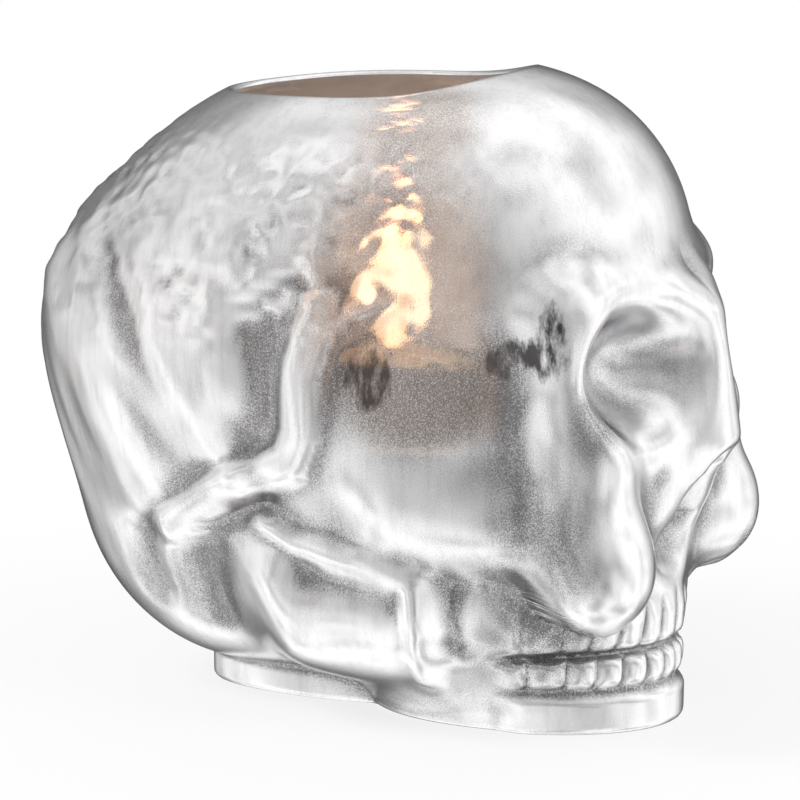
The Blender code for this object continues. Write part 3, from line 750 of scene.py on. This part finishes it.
@dataclass(frozen=True)
class CoatMap:
    """Where the silver coat is darkened as painted shade, thin, as at the temples, or torn away.

    The painted shade darkens the coat in the hollows, in the mould's folds and at given spots, where dark
    reflections are painted.

    Attributes:
        spreads: widths of the hollows that get painted shade, in steps of the mesh.
        depths: how deep a hollow of each width is when its painted shade starts, and when it is full.
        strengths: how dark the painted shade of each width is.
        fold_depths: the same as depths for the mould's folds, as shares of their depth.
        fold_strength: how dark the painted shade in the folds is.
        spared: spots where the hollows get less painted shade.
    """

    spreads: tuple[float, ...] = (3.0, 8.0)
    depths: tuple[Span, ...] = ((-0.00007, 0.00036), (-0.00060, 0.00170))
    strengths: tuple[float, ...] = (0.74, 0.50)
    fold_depths: Span = (0.05, 0.65)
    fold_strength: float = 0.45
    spared: tuple[SoftSpot, ...] = (
        SoftSpot((0.0200, -0.0560, 0.0720), (0.0220, 0.0200, 0.0170), 0.60),
        SoftSpot((0.0150, -0.0540, 0.0930), (0.0300, 0.0200, 0.0090), 0.60),
    )
    # Spots of painted shade, where dark reflections are painted on the coat.
    painted_shade_and_wear: tuple[SoftSpot, ...] = (
        SoftSpot((0.0280, 0.0405, 0.0265), (0.0140, 0.0046, 0.0100), 0.55),
        SoftSpot((0.0290, 0.0290, 0.0255), (0.0140, 0.0068, 0.0110), 0.60),
        SoftSpot((0.0395, -0.0530, 0.0640), (0.0070, 0.0050, 0.0080), 0.60),
        SoftSpot((0.0410, -0.0460, 0.0480), (0.0080, 0.0080, 0.0130), 0.40),
        SoftSpot((0.0258, -0.0415, 0.0247), (0.0080, 0.0070, 0.0034), 0.55),
        SoftSpot((0.0175, -0.0594, 0.0510), (0.0026, 0.0040, 0.0026), 0.50),
        SoftSpot((0.0430, -0.0430, 0.0440), (0.0200, 0.0120, 0.0060), 0.50),
        SoftSpot((0.0400, -0.0500, 0.0370), (0.0200, 0.0070, 0.0060), 0.50),
        SoftSpot((0.0300, -0.0380, 0.0170), (0.0200, 0.0140, 0.0090), 0.40),
        SoftSpot((0.0125, -0.0630, 0.0700), (0.0070, 0.0060, 0.0080), 0.60),
    )
    thinned: tuple[SoftSpot, ...] = (
        SoftSpot((0.0470, -0.0185, 0.0860), (0.0200, 0.0175, 0.0290), 1.0),
        SoftSpot((0.0450, -0.0230, 0.0700), (0.0160, 0.0160, 0.0125), 1.0),
        SoftSpot((0.0300, -0.0160, 0.1160), (0.0250, 0.0120, 0.0090), 0.55),
    )
    torn: tuple[SoftSpot, ...] = (
        SoftSpot((0.0460, -0.0125, 0.0715), (0.0200, 0.0062, 0.0080), 0.46),
        SoftSpot((0.0400, -0.0375, 0.0755), (0.0200, 0.0062, 0.0056), 0.46),
        SoftSpot((0.0380, -0.0450, 0.0790), (0.0200, 0.0048, 0.0105), 0.46),
    )

    def hollows(self, rings: np.ndarray) -> np.ndarray:
        """How far each point of the rings lies in a hollow, from 0 to 1."""
        across = np.roll(rings, -1, axis=1) - np.roll(rings, 1, axis=1)
        along = np.gradient(rings, axis=0)
        normal = np.cross(across, along)
        normal /= np.linalg.norm(normal, axis=2, keepdims=True) + TINY
        clear = np.ones(rings.shape[:2])
        for spread, (start, full), strength in zip(self.spreads, self.depths, self.strengths):
            mean = softened(softened(rings, spread, 0), spread, 1)
            depth = np.sum((mean - rings) * normal, axis=2)
            clear *= 1.0 - strength * ease(depth, start, full)
        return 1.0 - clear

    def weights(self, form: SkullForm, rings: np.ndarray) -> dict[str, np.ndarray]:
        """Every weight at each point of the rings, which are still where the form is.

        Args:
            form: the skull's form, for its folds.
            rings: points by ring and column.

        Returns:
            Weights by name, each by ring and column.
        """
        points = rings.reshape(-1, 3)
        half = points.copy()
        half[:, 0] = np.abs(half[:, 0])
        painted_shade_and_wear, thinned, torn, spared = (
            np.prod([1.0 - spot.weight(half) for spot in spots], axis=0).reshape(rings.shape[:2])
            for spots in (self.painted_shade_and_wear, self.thinned, self.torn, self.spared))
        folds = ease(-form.fold_height(points).reshape(rings.shape[:2]), *self.fold_depths)
        # Painted shade: darker in the hollows and the mould's folds, less at the spared spots.
        painted_shade_and_wear *= (1.0 - self.hollows(rings) * spared) * (1.0 - self.fold_strength * folds)
        return {"painted_shade_and_wear": 1.0 - painted_shade_and_wear, "thinned": 1.0 - thinned, "torn": 1.0 - torn}


@dataclass
class PressedSkull:
    """The glass skull: its outside drawn in to the form, its lip, and its well with an oval floor.

    Attributes:
        columns: points round each ring.
        front_crowding: how far the columns are drawn together at the face.
        lower_rings: rings up to the height of the forehead.
        ring_crowding: how far these are drawn together at the foot; 1 is evenly spaced.
        upper_rings: rings from there to the lip.
        coated_lip_rings: rings of the lip that the coat still covers.
        outside: a distance from the axis that is outside the form everywhere.
        draw_share: share of the distance to the form that one step takes.
        mouth: centre along Y, half width and half length of the lip's inner edge.
        floor: the same for the well's floor, before its fillet.
    """

    form: SkullForm = field(default_factory=SkullForm)
    columns: int = 384
    front_crowding: float = 0.36
    lower_rings: int = 146
    ring_crowding: float = 1.12
    upper_rings: int = 58
    lip_rings: int = 8
    coated_lip_rings: int = 5
    well_rings: int = 20
    fillet_rings: int = 8
    axis_y: float = -0.0100
    crown_height: float = 0.0850
    outside: float = 0.1300
    draw_steps: int = 40
    draw_share: float = 0.85
    foot_edge: float = 0.0015
    foot_edge_rings: int = 4
    lip_radius: float = 0.0016
    mouth: Point = (0.0040, 0.0250, 0.0290)
    floor: Point = (0.0, 0.0225, 0.0250)
    floor_height: float = 0.0540
    floor_fillet: float = 0.0030

    def angles(self) -> np.ndarray:
        """Angles of the columns about the mesh's axis, the face's closer together."""
        even = (np.arange(self.columns) + 0.5) * 2.0 * math.pi / self.columns
        return even + self.front_crowding * np.sin(even) + math.pi / 2.0

    def ring(self, reach: np.ndarray | float, height: np.ndarray | float) -> np.ndarray:
        """Points at a distance from the mesh's axis and at a height, one for each column."""
        angles = self.angles()
        height = np.broadcast_to(height, angles.shape)
        return np.stack([np.cos(angles) * reach, self.axis_y + np.sin(angles) * reach, height], axis=1)

    def oval_reach(self, oval: Point) -> np.ndarray:
        """Distance from the mesh's axis to an oval's edge, at each column.

        Args:
            oval: the oval's centre along Y, its half width and its half length.

        Returns:
            One distance for each column.
        """
        centre_y, half_width, half_length = oval
        cosine, sine = np.cos(self.angles()), np.sin(self.angles())
        offset = centre_y - self.axis_y
        square = (cosine / half_width) ** 2 + (sine / half_length) ** 2
        middle = sine * offset / half_length ** 2
        rest = (offset / half_length) ** 2 - 1.0
        return (middle + np.sqrt(middle ** 2 - square * rest)) / square

    def draw_in(self, origins: np.ndarray, directions: np.ndarray) -> np.ndarray:
        """Points where lines from the origins last leave the form, found by stepping in from outside."""
        reach = np.full(len(origins), self.outside)
        for _ in range(self.draw_steps):
            reach -= self.draw_share * self.form.distance(origins + directions * reach[:, None])
            reach = np.clip(reach, 0.0, self.outside)
        return origins + directions * reach[:, None]

    def outside_rings(self) -> list[np.ndarray]:
        """Rings from the foot's underside up to the lip's outer edge."""
        level = np.zeros(self.columns)
        flat = self.ring(1.0, 0.0) - [0.0, self.axis_y, 0.0]
        shares = np.arange(1, self.lower_rings + 1) / self.lower_rings
        heights = self.crown_height * shares ** self.ring_crowding
        heights = [self.foot_edge] + [height for height in heights if height > 2.0 * self.foot_edge]
        reach = self.oval_reach(self.mouth) + self.lip_radius
        edge = self.draw_in(self.ring(reach, 0.0), np.tile([0.0, 0.0, 1.0], (self.columns, 1)))
        rise = np.arctan2(edge[:, 2] - self.crown_height, reach)
        origins = [self.ring(level, height) for height in heights]
        directions = [flat] * len(heights)
        for step in range(1, self.upper_rings):
            tilt = rise * step / self.upper_rings
            origins.append(self.ring(level, self.crown_height))
            directions.append(flat * np.cos(tilt)[:, None] + np.outer(np.sin(tilt), [0.0, 0.0, 1.0]))
        drawn = self.draw_in(np.concatenate(origins), np.concatenate(directions))
        rings = list(drawn.reshape(len(origins), self.columns, 3))
        under = []
        for turn in np.linspace(0.0, math.pi / 2.0, self.foot_edge_rings + 1)[:-1]:
            sunk = rings[0] * [1.0, 1.0, 0.0] - flat * self.foot_edge * (1.0 - math.sin(turn))
            under.append(sunk + [0.0, 0.0, self.foot_edge * (1.0 - math.cos(turn))])
        return under + rings + [edge]

    def inside_rings(self, edge: np.ndarray) -> list[np.ndarray]:
        """Rings from the lip's outer edge over it and down to the well's floor."""
        mouth, floor = self.oval_reach(self.mouth), self.oval_reach(self.floor)
        rings = []
        for turn in np.linspace(0.0, math.pi / 2.0, self.lip_rings + 1)[1:]:
            rings.append(self.ring(mouth + self.lip_radius * (1.0 - math.sin(turn)),
                                   edge[:, 2] - self.lip_radius * (1.0 - math.cos(turn))))
        top, wall_foot = edge[:, 2] - self.lip_radius, self.floor_height + self.floor_fillet
        for share in np.linspace(0.0, 1.0, self.well_rings + 1)[1:]:
            rings.append(self.ring(mouth + (floor - mouth) * share, top + (wall_foot - top) * share))
        for turn in np.linspace(0.0, math.pi / 2.0, self.fillet_rings + 1)[1:]:
            rings.append(self.ring(floor - self.floor_fillet * (1.0 - math.cos(turn)),
                                   wall_foot - self.floor_fillet * math.sin(turn)))
        return rings

    def build(self) -> bpy.types.Object:
        """The skull as one closed piece, coated outside and over the lip, and clear inside."""
        outside = self.outside_rings()
        rings = outside + self.inside_rings(outside[-1])
        maps = CoatMap().weights(self.form, np.array(outside))
        mesh = bmesh.new()
        bmesh.ops.create_grid(mesh, x_segments=self.columns, y_segments=len(rings) - 1, size=1.0)
        layers = {name: mesh.verts.layers.float.new(name) for name in maps}
        mesh.verts.ensure_lookup_table()
        stride = self.columns + 1
        shift = form_shift()
        for row, ring in enumerate(rings):
            for column in range(stride):
                vert = mesh.verts[row * stride + column]
                x, y, z = ring[column % self.columns]
                vert.co = (x, y + shift, z)
                for name, layer in layers.items():
                    vert[layer] = maps[name][row, column % self.columns] if row < len(outside) else 0.0
        clear_from = len(outside) - 1 + self.coated_lip_rings
        for face in mesh.faces:
            if min(vert.index for vert in face.verts) // stride >= clear_from:
                face.material_index = 1
        bmesh.ops.remove_doubles(mesh, verts=mesh.verts, dist=MERGE_DISTANCE)
        open_edges = [edge for edge in mesh.edges if edge.is_boundary]
        capped = bmesh.ops.holes_fill(mesh, edges=open_edges, sides=0)["faces"]
        for face in capped:
            high = face.calc_center_median().z > self.floor_height / 2.0
            face.material_index = 1 if high else 0
        bmesh.ops.recalc_face_normals(mesh, faces=mesh.faces)
        piece = finished_piece("skull_glass", mesh, [SilveredGlass().build(), ClearGlass().build()])
        return piece


def finished_piece(name: str, mesh: bmesh.types.BMesh, materials: list[bpy.types.Material],
                   sharp_angle: float = 45.0) -> bpy.types.Object:
    """Object from a bmesh, shaded smooth.

    Args:
        name: the piece's name.
        mesh: its shape, freed here.
        materials: its material slots in order.
        sharp_angle: edges sharper than this, in degrees, stay hard.

    Returns:
        The object, riding on the root body.
    """
    data = bpy.data.meshes.new(name)
    mesh.to_mesh(data)
    mesh.free()
    data.shade_smooth()
    data.set_sharp_from_angle(angle=math.radians(sharp_angle))
    for material in materials:
        data.materials.append(material)
    piece = placed(name, data)
    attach(piece, "root")
    return piece


def arc(centre: Span, radius: float, start: float, end: float, steps: int) -> list:
    """Points of an arc in an outline, its angles in degrees."""
    turns = [math.radians(start + (end - start) * step / steps) for step in range(steps + 1)]
    return [(centre[0] + radius * math.cos(turn), centre[1] + radius * math.sin(turn)) for turn in turns]


def turned(outline: list, way: Turn, centre_y: float, steps: int = 96) -> bmesh.types.BMesh:
    """Closed mesh of an outline turned about an upright axis.

    Args:
        outline: (radius, height) points.
        way: how the outline closes.
        centre_y: where the axis stands.
        steps: faces round the turn.

    Returns:
        The mesh.
    """
    mesh = bmesh.new()
    verts = [mesh.verts.new((radius, 0.0, height)) for radius, height in outline]
    edges = [mesh.edges.new(pair) for pair in zip(verts, verts[1:])]
    if way is Turn.RING:
        edges.append(mesh.edges.new((verts[-1], verts[0])))
    bmesh.ops.spin(mesh, geom=verts + edges, cent=(0.0, 0.0, 0.0), axis=(0.0, 0.0, 1.0),
                   angle=2.0 * math.pi, steps=steps, use_merge=True)
    bmesh.ops.remove_doubles(mesh, verts=mesh.verts, dist=MERGE_DISTANCE)
    bmesh.ops.recalc_face_normals(mesh, faces=mesh.faces)
    bmesh.ops.translate(mesh, verts=mesh.verts, vec=(0.0, centre_y, 0.0))
    return mesh


@dataclass
class TeaLight:
    """Lit tea light in the well: aluminium cup, wax cake, wick in its clip, and flame.

    Attributes:
        base: height of the cup's underside.
        gap: clearance round the wax, the wick and the clip.
        bead: radius of the cup's rolled edge.
        pool_run: how far the wax slopes down from its rim, in depths of the pool.
        flame_lean: how far the flame's tip stands towards the face.
        flame_rise: above 1, the flame is widest above its middle.
        flame_fullness: below 1, its sides are fuller than a sine.
        flame_taper: share of the width that is lost towards the tip.
        flame_bend: below 1, the flame leans most at its foot.
    """

    centre_y: float
    base: float = 0.0543
    gap: float = 0.0003
    radius: float = 0.0190
    height: float = 0.0155
    wall: float = 0.0004
    bead: float = 0.0006
    bevel: float = 0.0010
    wax_height: float = 0.0120
    pool_depth: float = 0.0012
    pool_run: float = 1.5
    wick_radius: float = 0.0008
    clip_radius: float = 0.0060
    clip_thickness: float = 0.0005
    neck_radius: float = 0.0017
    neck_height: float = 0.0040
    flame_foot: float = 0.0688
    flame_height: float = 0.0200
    flame_radius: float = 0.0092
    flame_lean: float = 0.0042
    flame_rise: float = 1.10
    flame_fullness: float = 0.85
    flame_taper: float = 0.15
    flame_bend: float = 0.8
    bevel_steps: int = 5
    bead_steps: int = 12
    rim_points: int = 8
    flame_points: int = 28
    flame_turns: int = 48

    def build_cup(self) -> bpy.types.Object:
        """Cup with its rolled bead."""
        bead_height = self.base + self.height - self.bead
        bore, inside = self.radius - self.wall, self.base + self.wall
        outline = [(0.0, self.base)]
        outline += arc((self.radius - self.bevel, self.base + self.bevel), self.bevel, -90.0, 0.0,
                       self.bevel_steps)
        outline += arc((self.radius, bead_height), self.bead, -90.0, 180.0, self.bead_steps)
        outline += [(bore, bead_height - self.bead)]
        outline += arc((bore - self.bevel, inside + self.bevel), self.bevel, 0.0, -90.0, self.bevel_steps)
        outline += [(0.0, inside)]
        piece = finished_piece("tealight_cup_sheet", turned(outline, Turn.OPEN, self.centre_y),
                               [PressedAluminium().build()])
        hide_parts("tealight_cup")
        return piece

    def build_wax(self) -> bpy.types.Object:
        """Wax cake, sunk to a pool round the wick."""
        bottom = self.base + self.wall + self.gap
        top, outer = bottom + self.wax_height, self.radius - self.wall - self.gap
        hole = self.wick_radius + self.gap
        clip_top, neck_top = bottom + self.clip_thickness + self.gap, bottom + self.neck_height + self.gap
        pocket, neck = self.clip_radius + self.gap, self.neck_radius + self.gap
        rim = [(outer - self.pool_depth * self.pool_run * share,
                top - self.pool_depth * math.sin(share * math.pi / 2.0))
               for share in np.linspace(0.0, 1.0, self.rim_points)]
        outline = [(pocket, bottom), (outer - self.bevel, bottom), (outer, bottom + self.bevel), *rim,
                   (hole, top - self.pool_depth), (hole, neck_top), (neck, neck_top), (neck, clip_top),
                   (pocket, clip_top)]
        piece = finished_piece("wax_cake", turned(outline, Turn.RING, self.centre_y), [ParaffinWax().build()])
        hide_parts("wax")
        return piece

    def build_flame(self) -> bpy.types.Object:
        """Flame, a leaf that is widest near its middle and leans towards the face."""
        tip = self.flame_foot + self.flame_height
        outline = [(0.0, self.flame_foot)]
        for share in np.linspace(0.0, 1.0, self.flame_points)[1:-1]:
            swell = math.sin(math.pi * share ** self.flame_rise) ** self.flame_fullness
            outline.append((self.flame_radius * (swell * (1.0 - self.flame_taper * share)),
                            self.flame_foot + self.flame_height * share))
        outline.append((0.0, tip))
        mesh = turned(outline, Turn.OPEN, self.centre_y, self.flame_turns)
        for vert in mesh.verts:
            risen = max(vert.co.z - self.flame_foot, 0.0) / self.flame_height
            vert.co.y -= self.flame_lean * risen ** self.flame_bend
        piece = finished_piece("flame", mesh, [FlameGlow().build()])
        return piece

    def dress_cad_nodes(self) -> None:
        """Gives the wick and its clip, which keep their own solids, their finishes."""
        for node, finish in (("wick", CharredCotton()), ("wick_clip", TinnedSteel())):
            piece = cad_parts[node]
            piece.data.materials.clear()
            piece.data.materials.append(finish.build())


@dataclass(frozen=True)
class Lamp:
    """Square soft lamp, by where it stands, its side and its power in watts."""

    name: str
    place: Point
    size: float
    power: float


@dataclass
class Studio:
    """White room that the skull's silver sees uneven, a floor that keeps the shadow, and soft lamps.

    Attributes:
        shift: how far along Y the frame stands from the lengths that the form is written in.
        azimuth: camera's turn about Z, in degrees; 0 looks along +Y.
        elevation: camera's height above level, in degrees.
        distance: from the camera to its target.
        pixels_per_metre: scale of the picture at the target.
        centre_x: where the target stands in the picture, in pixels from the left.
        centre_y: the same from the top.
        mirrored_levels: the room that is seen mirrored, from opposite the camera, where it is dark, to
            beside the camera, where it is grey.
        uneven_scale: scale of the noise that the mirrored room has.
        uneven_span: the noise where the mirrored room is dimmest and brightest.
        uneven_levels: how bright it is there.
        dim_way: direction in which the mirrored room is dimmer, by dim_levels.
        through_levels: the room that is seen through the glass, counted as mirrored_levels are.
        plain_level: the room's light where it is neither mirrored nor seen through glass.
        card_span: distance from the floor's middle where it starts to glow more, and where it only glows.
        card_glow: share of glow there.
    """

    shift: float
    azimuth: float = 292.0
    elevation: float = 10.5
    distance: float = 0.775
    target_height: float = 0.060
    sensor: float = 36.0
    frame_pixels: float = 800.0
    pixels_per_metre: float = 5130.0
    centre_x: float = 401.0
    centre_y: float = 392.4
    mirrored_levels: tuple[Span, ...] = (
        (0.0, 0.14), (0.06, 0.30), (0.14, 0.72), (0.24, 1.16), (0.62, 1.16), (0.76, 0.98), (0.88, 0.75),
        (0.95, 0.62), (0.985, 0.52))
    uneven_scale: float = 2.6
    uneven_span: Span = (0.38, 0.52)
    uneven_levels: Span = (0.54, 1.05)
    dim_way: Point = (0.15, 0.90, 0.42)
    dim_levels: tuple[Span, ...] = ((0.0, 1.0), (0.72, 1.0), (0.86, 0.86), (0.99, 0.66))
    through_levels: tuple[Span, ...] = ((0.0, 0.10), (0.12, 0.22), (0.30, 0.80), (0.42, 1.0))
    plain_level: float = 0.75
    candle_power: float = 0.03
    candle_colour: str = "FFB870"
    candle_height: float = 0.0960
    candle_radius: float = 0.003
    card_colour: str = "F4F4F4"
    card_roughness: float = 0.9
    card_radius: float = 0.9
    card_sides: int = 96
    card_span: Span = (0.07, 0.21)
    card_glow: Span = (0.78, 1.0)
    near_clip: float = 0.01
    lamps: tuple[Lamp, ...] = (
        Lamp("soft_lamp_left", (-0.55, 0.55, 0.85), 0.35, 4.0),
        Lamp("soft_lamp_front", (-0.25, -0.95, 0.60), 0.45, 3.0),
    )

    def back(self) -> Vector:
        """Direction from the target to the camera."""
        turn, lift = math.radians(self.azimuth), math.radians(self.elevation)
        return Vector((math.sin(turn) * math.cos(lift), -math.cos(turn) * math.cos(lift), math.sin(lift)))

    def build_camera(self) -> None:
        """Camera at the photograph's angle, framed as it is."""
        turn = math.radians(self.azimuth)
        back, right = self.back(), Vector((math.cos(turn), math.sin(turn), 0.0))
        up = back.cross(right)
        lens = bpy.data.cameras.new("camera")
        lens.sensor_width = self.sensor
        lens.lens = self.sensor * self.pixels_per_metre * self.distance / self.frame_pixels
        lens.shift_x = (self.frame_pixels / 2.0 - self.centre_x) / self.frame_pixels
        lens.shift_y = (self.centre_y - self.frame_pixels / 2.0) / self.frame_pixels
        lens.clip_start = self.near_clip
        camera = placed("camera", lens)
        place = Vector((0.0, self.shift, self.target_height)) + back * self.distance
        camera.matrix_world = Matrix.Translation(place) @ Matrix((right, up, back)).transposed().to_4x4()
        bpy.context.scene.camera = camera

    @staticmethod
    def level_by_way(tree: bpy.types.NodeTree, way: bpy.types.NodeSocket, middle: Point,
                     levels: tuple[Span, ...]) -> bpy.types.NodeSocket:
        """Brightness of the room by how far each direction lies from a middle one.

        Args:
            tree: the world's tree.
            way: the direction seen.
            middle: the direction that the levels are counted from.
            levels: place from 0, opposite the middle, to 1, on it, and brightness there.

        Returns:
            Socket with the brightness.
        """
        unit = Vector(middle).normalized()
        facing = add_node(tree, "ShaderNodeVectorMath", {0: way}, {1: tuple(unit)}, operation="DOT_PRODUCT")
        place = ranged(tree, facing.outputs["Value"], (-1.0, 1.0))
        ramp = add_node(tree, "ShaderNodeValToRGB", {"Fac": place})
        ramp.color_ramp.interpolation = "EASE"
        while len(ramp.color_ramp.elements) < len(levels):
            ramp.color_ramp.elements.new(0.5)
        for element, (position, level) in zip(ramp.color_ramp.elements, levels):
            element.position = position
            element.color = (level, level, level, 1.0)
        return ramp.outputs["Color"]

    def build_world(self) -> None:
        """White world, which glass and metal see dark opposite the camera and uneven."""
        world = bpy.data.worlds.new("studio")
        bpy.context.scene.world = world
        world.use_nodes = True
        tree = world.node_tree
        tree.nodes.clear()
        way = add_node(tree, "ShaderNodeTexCoord").outputs["Generated"]
        seen = add_node(tree, "ShaderNodeLightPath")
        mirrored = self.level_by_way(tree, way, tuple(self.back()), self.mirrored_levels)
        dimmed = self.level_by_way(tree, way, self.dim_way, self.dim_levels)
        uneven = ranged(tree, noise(tree, way, 1.0 / self.uneven_scale, 3.0, 0.55), self.uneven_span,
                        self.uneven_levels)
        mirrored = product(tree, product(tree, mirrored, dimmed), uneven)
        through = self.level_by_way(tree, way, tuple(self.back()), self.through_levels)
        plain = add_node(tree, "ShaderNodeMix", {"Factor": seen.outputs["Is Glossy Ray"], 3: mirrored},
                         {2: self.plain_level}).outputs[0]
        studio = add_node(tree, "ShaderNodeMix", {"Factor": seen.outputs["Is Transmission Ray"], 2: plain,
                                                  3: through}).outputs[0]
        shown = add_node(tree, "ShaderNodeMix", {"Factor": seen.outputs["Is Camera Ray"], 6: studio},
                         {7: WHITE}, data_type="RGBA")
        light = add_node(tree, "ShaderNodeBackground", {"Color": shown.outputs[2]}, {"Strength": 1.0})
        add_node(tree, "ShaderNodeOutputWorld", {"Surface": light.outputs["Background"]})

    def build_floor(self) -> None:
        """White floor, whose far part gives way to the white world."""
        mesh = bmesh.new()
        bmesh.ops.create_circle(mesh, cap_ends=True, radius=self.card_radius, segments=self.card_sides)
        data = bpy.data.meshes.new("floor")
        mesh.to_mesh(data)
        mesh.free()
        made, tree, shader = blank_material("white_card")
        feed(tree, shader, values={"Base Color": linear_colour(self.card_colour),
                                   "Roughness": self.card_roughness, "Specular IOR Level": 0.0})
        reach = add_node(tree, "ShaderNodeVectorMath", {0: object_place(tree)}, operation="LENGTH")
        far = ranged(tree, reach.outputs["Value"], self.card_span, self.card_glow)
        far.node.interpolation_type = "SMOOTHSTEP"
        glow = add_node(tree, "ShaderNodeEmission", values={"Color": WHITE, "Strength": 1.0})
        mixed = add_node(tree, "ShaderNodeMixShader", {"Fac": far, 1: shader.outputs["BSDF"],
                                                       2: glow.outputs["Emission"]})
        tree.links.new(mixed.outputs["Shader"], tree.nodes["Material Output"].inputs["Surface"])
        data.materials.append(made)
        floor = placed("floor", data)
        floor.visible_glossy = False

    def add_lamp(self, lamp: Lamp) -> None:
        """Turns a soft lamp to the skull, without a reflection of its own."""
        light = bpy.data.lights.new(lamp.name, "AREA")
        light.size = lamp.size
        light.energy = lamp.power
        stand = placed(lamp.name, light)
        look = Vector((0.0, 0.0, self.target_height)) - Vector(lamp.place)
        stand.rotation_euler = look.to_track_quat("-Z", "Y").to_euler()
        stand.location = lamp.place
        stand.visible_glossy = False

    def add_candle_light(self) -> None:
        """Small warm lamp over the flame, for the light on the well that the soft flame doesn't give."""
        lamp = bpy.data.lights.new("candle_light", "POINT")
        lamp.energy = self.candle_power
        lamp.color = linear_colour(self.candle_colour)[:3]
        lamp.shadow_soft_size = self.candle_radius
        stand = placed("candle_light", lamp)
        stand.location = (0.0, CUP_CENTRE_Y + self.shift, self.candle_height)
        stand.visible_glossy = False
        stand.visible_transmission = False

    def build(self) -> None:
        """Camera, world, floor and lamps."""
        self.add_candle_light()
        self.build_camera()
        self.build_world()
        self.build_floor()
        for lamp in self.lamps:
            self.add_lamp(lamp)


def main() -> None:
    """Builds the studio and every piece, in order."""
    logging.basicConfig(level=logging.INFO, format="%(name)s: %(message)s")
    bpy.context.scene.view_settings.view_transform = "Standard"
    shift = form_shift()
    Studio(shift).build()
    skull = PressedSkull().build()
    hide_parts("skull")
    LOG.info("%s has %d faces", skull.name, len(skull.data.polygons))
    candle = TeaLight(CUP_CENTRE_Y + shift)
    for piece in (candle.build_cup(), candle.build_wax(), candle.build_flame()):
        LOG.info("%s has %d faces", piece.name, len(piece.data.polygons))
    candle.dress_cad_nodes()


if __name__ == "__main__":
    main()
